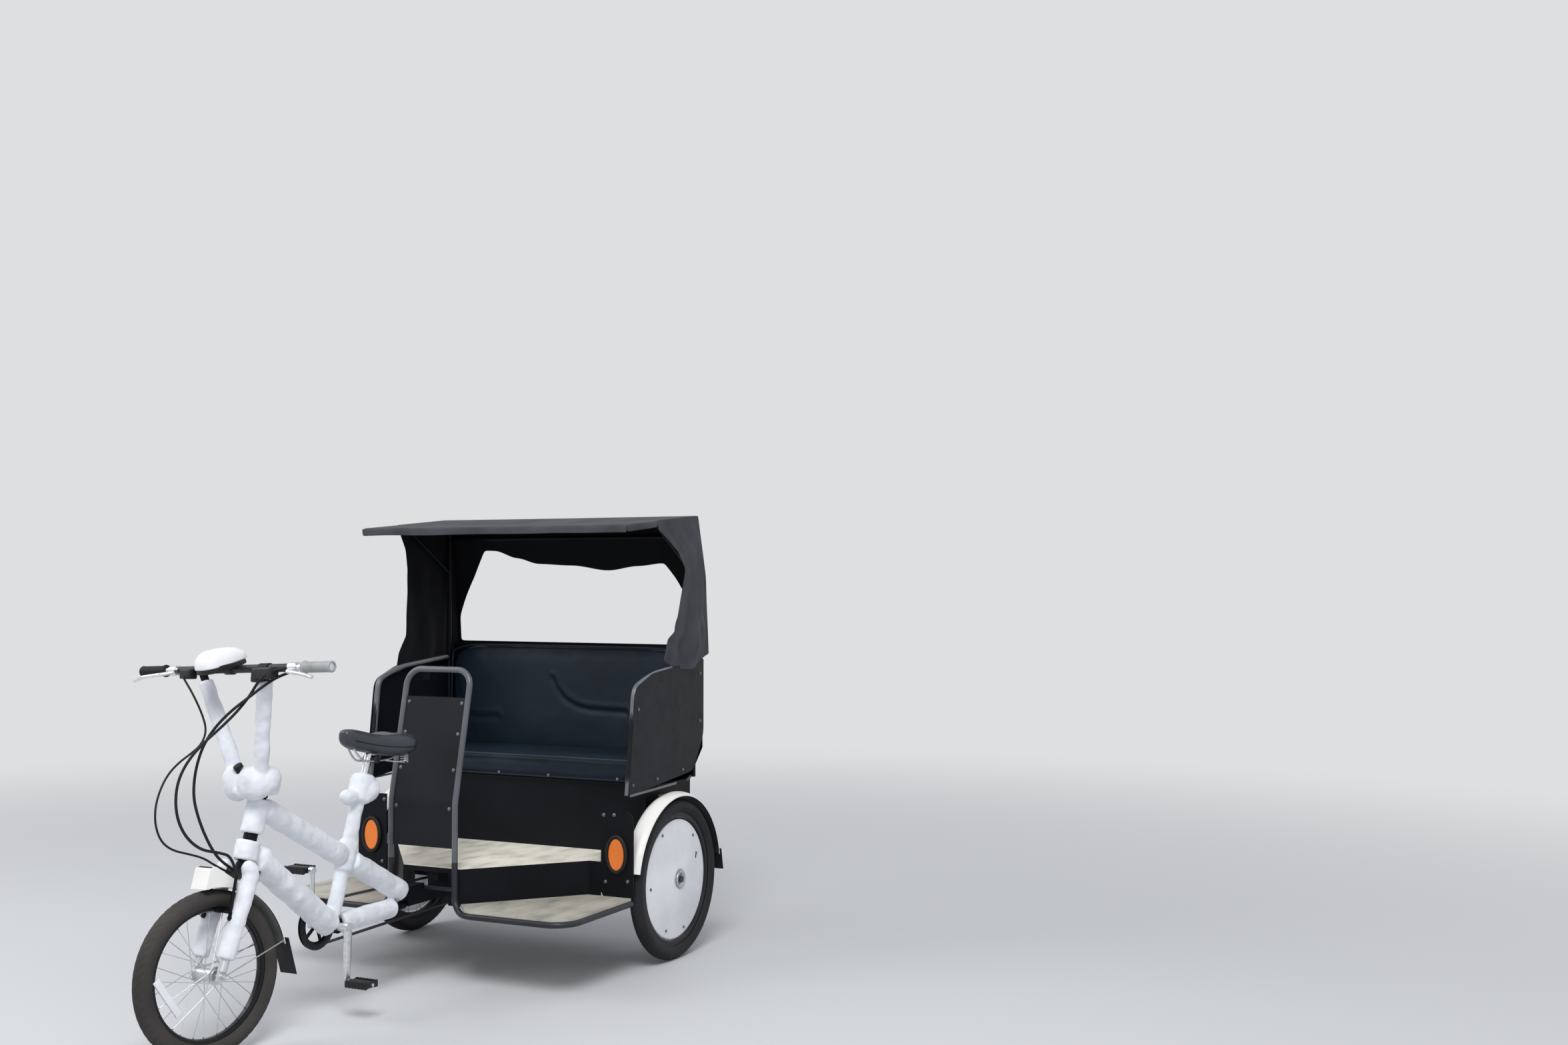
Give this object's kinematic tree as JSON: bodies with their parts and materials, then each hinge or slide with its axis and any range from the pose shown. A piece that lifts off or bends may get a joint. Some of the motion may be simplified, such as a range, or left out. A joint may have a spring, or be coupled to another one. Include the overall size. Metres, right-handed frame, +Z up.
{
  "type": "cycle rickshaw",
  "caption": "Cycle rickshaw with a small-wheeled step-through front end in foam transport sleeves and a canopied passenger bench over the rear axle.",
  "frame": {"origin": "centre of the bounding box on the ground plane under the wheels", "axes": "-Y forwards, +X to the rider's left, +Z up"},
  "size_m": [1.318, 2.4015, 1.726],
  "materials": {
    "tyre": "matte tread rubber",
    "rim": "satin",
    "white_plastic": "slightly worn white",
    "steel": "plain steel",
    "black_paint": "semi-gloss black",
    "silver_paint": "silver paint",
    "navy_panel": "very dark blue, semi-gloss",
    "foam": "soft white packing foam",
    "grip_rubber": "matte",
    "black_plastic": "matte",
    "saddle_cover": "smooth black cover",
    "seat_cover": "navy synthetic leather",
    "canopy_cloth": "near-black coated cloth",
    "beige_floor": "light beige floor covering",
    "reflector": "moulded reflector",
    "flap_rubber": "matte"
  },
  "bodies": {
    "frame": {"head_tube": "black_paint", "upper_tube": "black_paint", "down_tube": "black_paint", "seat_tube": "black_paint", "bottom_bracket": "black_paint", "lower_stay": "black_paint", "seatpost": "silver_paint", "saddle": "saddle_cover", "frame_foam": "foam", "differential": "steel", "chain": "steel", "spine": "black_paint", "chassis": "black_paint", "floor": "beige_floor", "riser": "black_paint", "lower_steps": "beige_floor", "hoop": "black_paint", "step_tubes": "black_paint", "partition_panel": "navy_panel", "reflector_plates": "black_paint", "reflectors": "reflector", "seat_box": "black_paint", "seat_deck": "black_paint", "seat_cushion": "seat_cover", "backrest": "seat_cover", "back_panel": "navy_panel", "side_panels": "navy_panel", "rear_fenders": "white_plastic", "rear_flaps": "flap_rubber", "canopy_frame": "black_paint", "canopy_roof": "canopy_cloth", "canopy_back": "canopy_cloth", "canopy_flaps": "canopy_cloth"},
    "steering": {"fork": "black_paint", "stem": "black_paint", "handlebar": "silver_paint", "grips": "grip_rubber", "brake_levers": "black_paint", "console": "black_plastic", "front_brake": "black_paint", "front_fender": "black_plastic", "front_mudflap": "flap_rubber", "fender_stays": "steel", "steering_foam": "foam", "left_brake_cable": "black_plastic", "left_gear_cable": "black_plastic", "right_brake_cable": "black_plastic"},
    "front_wheel": {"front_tyre": "tyre", "front_rim": "rim"},
    "rear_left_wheel": {"rear_left_tyre": "tyre", "rear_left_rim": "rim", "rear_left_disc": "white_plastic", "left_half_shaft": "steel"},
    "rear_right_wheel": {"rear_right_tyre": "tyre", "rear_right_rim": "rim", "rear_right_disc": "white_plastic", "right_half_shaft": "steel"},
    "crank": {"crank": "black_paint"},
    "left_pedal": {"left_pedal": "black_plastic"},
    "right_pedal": {"right_pedal": "black_plastic"}
  },
  "joints": [
    {"name": "steering_turn", "type": "hinge", "parent": "frame", "child": "steering", "pos_m": [0, -0.7705, 0.67], "axis": [0, 0.309, 0.9511], "range_deg": [-36, 54]},
    {"name": "front_wheel_spin", "type": "hinge", "parent": "steering", "child": "front_wheel", "pos_m": [-0.00626, -0.94632, 0.25673], "axis": [0.9877, -0.1488, 0.0483], "continuous": true},
    {"name": "rear_left_wheel_spin", "type": "hinge", "parent": "frame", "child": "rear_left_wheel", "pos_m": [0.62, 0.8515, 0.3075], "axis": [1, 0, 0], "continuous": true},
    {"name": "rear_right_wheel_spin", "type": "hinge", "parent": "frame", "child": "rear_right_wheel", "pos_m": [-0.62, 0.8515, 0.3075], "axis": [1, 0, 0], "continuous": true},
    {"name": "crank_spin", "type": "hinge", "parent": "frame", "child": "crank", "pos_m": [0, -0.3985, 0.304], "axis": [1, 0, 0], "continuous": true},
    {"name": "left_pedal_spin", "type": "hinge", "parent": "crank", "child": "left_pedal", "pos_m": [0.1323, -0.39536, 0.12403], "axis": [1, 0, 0], "continuous": true},
    {"name": "right_pedal_spin", "type": "hinge", "parent": "crank", "child": "right_pedal", "pos_m": [-0.1323, -0.40164, 0.48397], "axis": [1, 0, 0], "continuous": true}
  ]
}
